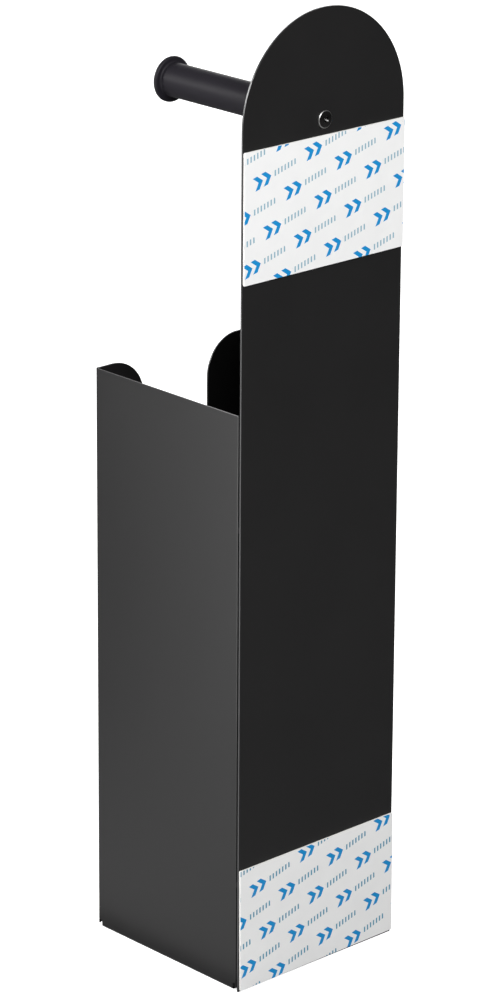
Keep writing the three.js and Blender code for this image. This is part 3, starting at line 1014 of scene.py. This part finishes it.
profile = [(0, screw_low.y), (SHANK_RADIUS - SHANK_CHAMFER, screw_low.y)]
crest = screw_low.y + SHANK_CHAMFER
while crest + PITCH < head_seat - THREAD_END:
    profile += [(SHANK_RADIUS, crest), (SHANK_RADIUS - THREAD_DEPTH, crest + PITCH / 2)]
    crest += PITCH
profile += [(SHANK_RADIUS, crest), (SHANK_RADIUS, head_seat), (HEAD_RADIUS, head_seat)]
rim = (HEAD_RADIUS - HEAD_ROUNDING, head_seat + HEAD_EDGE)
profile += arc(rim, HEAD_ROUNDING, 0, 72, 10)
crown_edge, crown_foot = profile[-1]
crown_rise = screw_high.y - crown_foot
crown_radius = (crown_edge ** 2 + crown_rise ** 2) / (2 * crown_rise)
half_angle = math.degrees(math.asin(crown_edge / crown_radius))
profile += arc((0, screw_high.y - crown_radius), crown_radius, 90 - half_angle, 90, 12)[1:]
screw = turned("arm_fixing_screw", profile, 64)
report(screw)

# %% [markdown]
# The cross recess takes the tip of a driver. It is made as the real one is, by pressing a tool in
# from outside: two tapered blades, one across the other, are taken out of the head. A small bevel
# then breaks all the sharp edges, and it gives them the lighter steel, a painted highlight. The
# rim and the walls of the recess get this painted highlight too.

# %% Cross recess of the screw
RECESS_SPAN = 5.4 * MM
RECESS_SLOT = 1.1 * MM
RECESS_DEPTH = 2.0 * MM
RECESS_TURN = math.radians(30)
BLADE_LENGTH = 3 * MM
BLADE_TAPER = (0.3, 1, 0.6)

recess_floor = screw_high.y - RECESS_DEPTH
for blade in (0, 1):
    bpy.ops.mesh.primitive_cube_add(
        size=1, location=(0, recess_floor + BLADE_LENGTH / 2, arm_height),
        scale=(RECESS_SPAN, BLADE_LENGTH, RECESS_SLOT))
    cutter = settle(f"recess_blade_{blade}")
    open_mesh(cutter)
    select_where(cutter, "faces", lambda f: f.normal.y < -0.9)
    bpy.ops.transform.resize(value=BLADE_TAPER, center_override=(0, recess_floor, arm_height))
    bpy.ops.mesh.select_all(action="SELECT")
    bpy.ops.transform.rotate(
        value=RECESS_TURN + blade * math.pi / 2, orient_axis="Y",
        center_override=(0, recess_floor, arm_height))
    deselect_all()
    cut_away(screw, cutter)
paint(screw, black_steel, steel_painted_highlight)
# The bevels get the lighter steel, a painted highlight on the sharp edges.
modify(screw, "BEVEL", width=0.12 * MM, segments=2, limit_method="ANGLE",
       angle_limit=math.radians(50), material=1)
# The rim and the recess walls get it too: painted highlight for the crescent and the glints.
for face in screw.data.polygons:
    from_axis = math.hypot(face.center.x, face.center.z - arm_height)
    on_rim = from_axis > HEAD_RADIUS - HEAD_ROUNDING and face.center.y > head_seat
    in_recess = (from_axis < RECESS_SPAN / 2
                 and recess_floor - 0.1 * MM < face.center.y < screw_high.y - 0.35 * MM)
    if on_rim or in_recess:
        face.material_index = 1
shade(screw, 30)
report(screw)

# %% [markdown]
# Each tape is a strip of closed-cell foam with adhesive on both faces. Cut foam is held in by the
# adhesive at its two faces and bulges a little between them. So rings are cut round the strip,
# and each is pushed out by its share of a round bulge. The corners are rounded first.

# %% Foam pad, modelled once
TAPE_SIZE = Vector((129.2 * MM, 1.5 * MM, 79.3 * MM))
PAD_CORNER = 0.8 * MM
PAD_BULGE = 0.6 * MM
PAD_RINGS = (-0.42, -0.3, -0.15, 0, 0.15, 0.3, 0.42)
tape_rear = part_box("upper_foam_pad")[1].y


def make_pad(name, middle_z, tilt):
    """One strip of foam at its height, turned on the plate by its tilt."""
    middle = Vector((0, tape_rear - TAPE_SIZE.y / 2, middle_z))
    deselect_all()
    bpy.ops.mesh.primitive_cube_add(size=1, location=middle, scale=TAPE_SIZE)
    pad = settle(name)
    open_mesh(pad)
    select_where(pad, "edges", lambda e: abs((e.verts[1].co - e.verts[0].co).y) > 1e-6)
    bpy.ops.mesh.bevel(offset=PAD_CORNER, segments=5, profile=0.5, affect="EDGES")
    for share in PAD_RINGS:
        bpy.ops.mesh.select_all(action="SELECT")
        ring_y = middle.y + share * TAPE_SIZE.y
        bpy.ops.mesh.bisect(plane_co=(0, ring_y, 0), plane_no=(0, 1, 0), threshold=1e-6)
    for share in (-0.5, *PAD_RINGS, 0.5):
        ring_y = middle.y + share * TAPE_SIZE.y
        select_where(pad, "verts", lambda v: abs(v.co.y - ring_y) < 1e-6)
        push = PAD_BULGE * (0.5 - (2 * share) ** 2)
        bpy.ops.transform.resize(
            value=(1 + push / TAPE_SIZE.x, 1, 1 + push / TAPE_SIZE.z), center_override=middle)
    bpy.ops.mesh.select_all(action="SELECT")
    bpy.ops.transform.rotate(value=-tilt, orient_axis="Y", center_override=middle)
    deselect_all()
    shade(pad, 40)
    return pad


print("foam strip in mm:", [round(side / MM, 1) for side in TAPE_SIZE])

# %% [markdown]
# The release liner lies on the foam's outer face. It starts as a fine grid, because a paper
# sheet is never quite flat: a low cloud texture will lift it by a few hundredths of a millimetre
# where it is put in place.

# %% Release liner, modelled once
LINER_SHEET = 0.1 * MM
LINER_MIDDLE = 0.05 * MM  # from the foam's outer face


def make_liner(name, middle_z, tilt):
    """One sheet of release paper over a strip, with the same tilt."""
    middle = Vector((0, tape_rear + LINER_MIDDLE, middle_z))
    deselect_all()
    bpy.ops.mesh.primitive_grid_add(
        x_subdivisions=96, y_subdivisions=60, size=1, location=middle,
        rotation=(-math.pi / 2, 0, 0))
    liner = bpy.context.object
    liner.scale = (TAPE_SIZE.x, TAPE_SIZE.z, 1)
    liner = settle(name)
    open_mesh(liner)
    bpy.ops.transform.rotate(value=-tilt, orient_axis="Y", center_override=middle)
    deselect_all()
    return liner


print("liner sheet in mm:", round(LINER_SHEET / MM, 2))

# %% [markdown]
# The upper strip was stuck on straight and the lower one a little crooked, by less than half a
# degree, as happens by hand. The same two functions make both tapes at their own heights.

# %% Foam pads and liners in place
liner_lift = bpy.data.textures.new("liner_lift", "CLOUDS")
liner_lift.noise_scale = 0.035
liner_lift.noise_depth = 1

LOWER_TILT = math.radians(0.4)
LINER_WAVE = 0.05 * MM
pads, liners = [], []
for level, tilt in (("upper", 0), ("lower", LOWER_TILT)):
    low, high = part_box(f"{level}_foam_pad")
    middle_z = (low.z + high.z) / 2
    pad = make_pad(f"{level}_foam_strip", middle_z, tilt)
    liner = make_liner(f"{level}_printed_liner", middle_z, tilt)
    modify(liner, "DISPLACE", texture=liner_lift, texture_coords="LOCAL", strength=LINER_WAVE,
           mid_level=0.5)
    modify(liner, "SOLIDIFY", thickness=LINER_SHEET, offset=0)
    shade(liner, 40)
    paint(pad, white_foam)
    paint(liner, upper_print if level == "upper" else lower_print)
    pads.append(pad)
    liners.append(liner)
    report(pad)
    report(liner)

# %% [markdown]
# Every piece now rides on its CAD body and stands for its CAD node, as the welds already do.

# %% Bodies, nodes and slots
for piece, body, node, slot in (
    (back_plate, "holder", "back_plate", "powder_coat"),
    (storage_box, "holder", "storage_box", "powder_coat"),
    (screw, "holder", "fixing_screw", "black_screw"),
    (pads[0], "holder", "upper_foam_pad", "foam"),
    (pads[1], "holder", "lower_foam_pad", "foam"),
    (liners[0], "holder", "upper_release_liner", "release_liner"),
    (liners[1], "holder", "lower_release_liner", "release_liner"),
    (arm_tube, "arm", "arm_tube", "anodised_black"),
    (end_cap, "arm", "arm_end_cap", "anodised_black"),
):
    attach(piece, body)
    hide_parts(node)
print("pieces on their bodies:", len(welds) + 9)

# %% [markdown]
# The plug inside the tube is the only CAD node that keeps its own shape, so its material slot is
# filled instead.

# %% Finish of the plug
frame["nodes"]["arm_plug"].material_slots[0].material = bare_aluminium
print("materials:", sorted(m.name for m in bpy.data.materials if m.users))

# %% [markdown]
# Last, the size of the finished model is printed.

# %% Size of the finished model
deselect_all()
low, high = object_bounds()
print("visual size in mm:", [round((b - a) / MM, 2) for a, b in zip(low, high)])
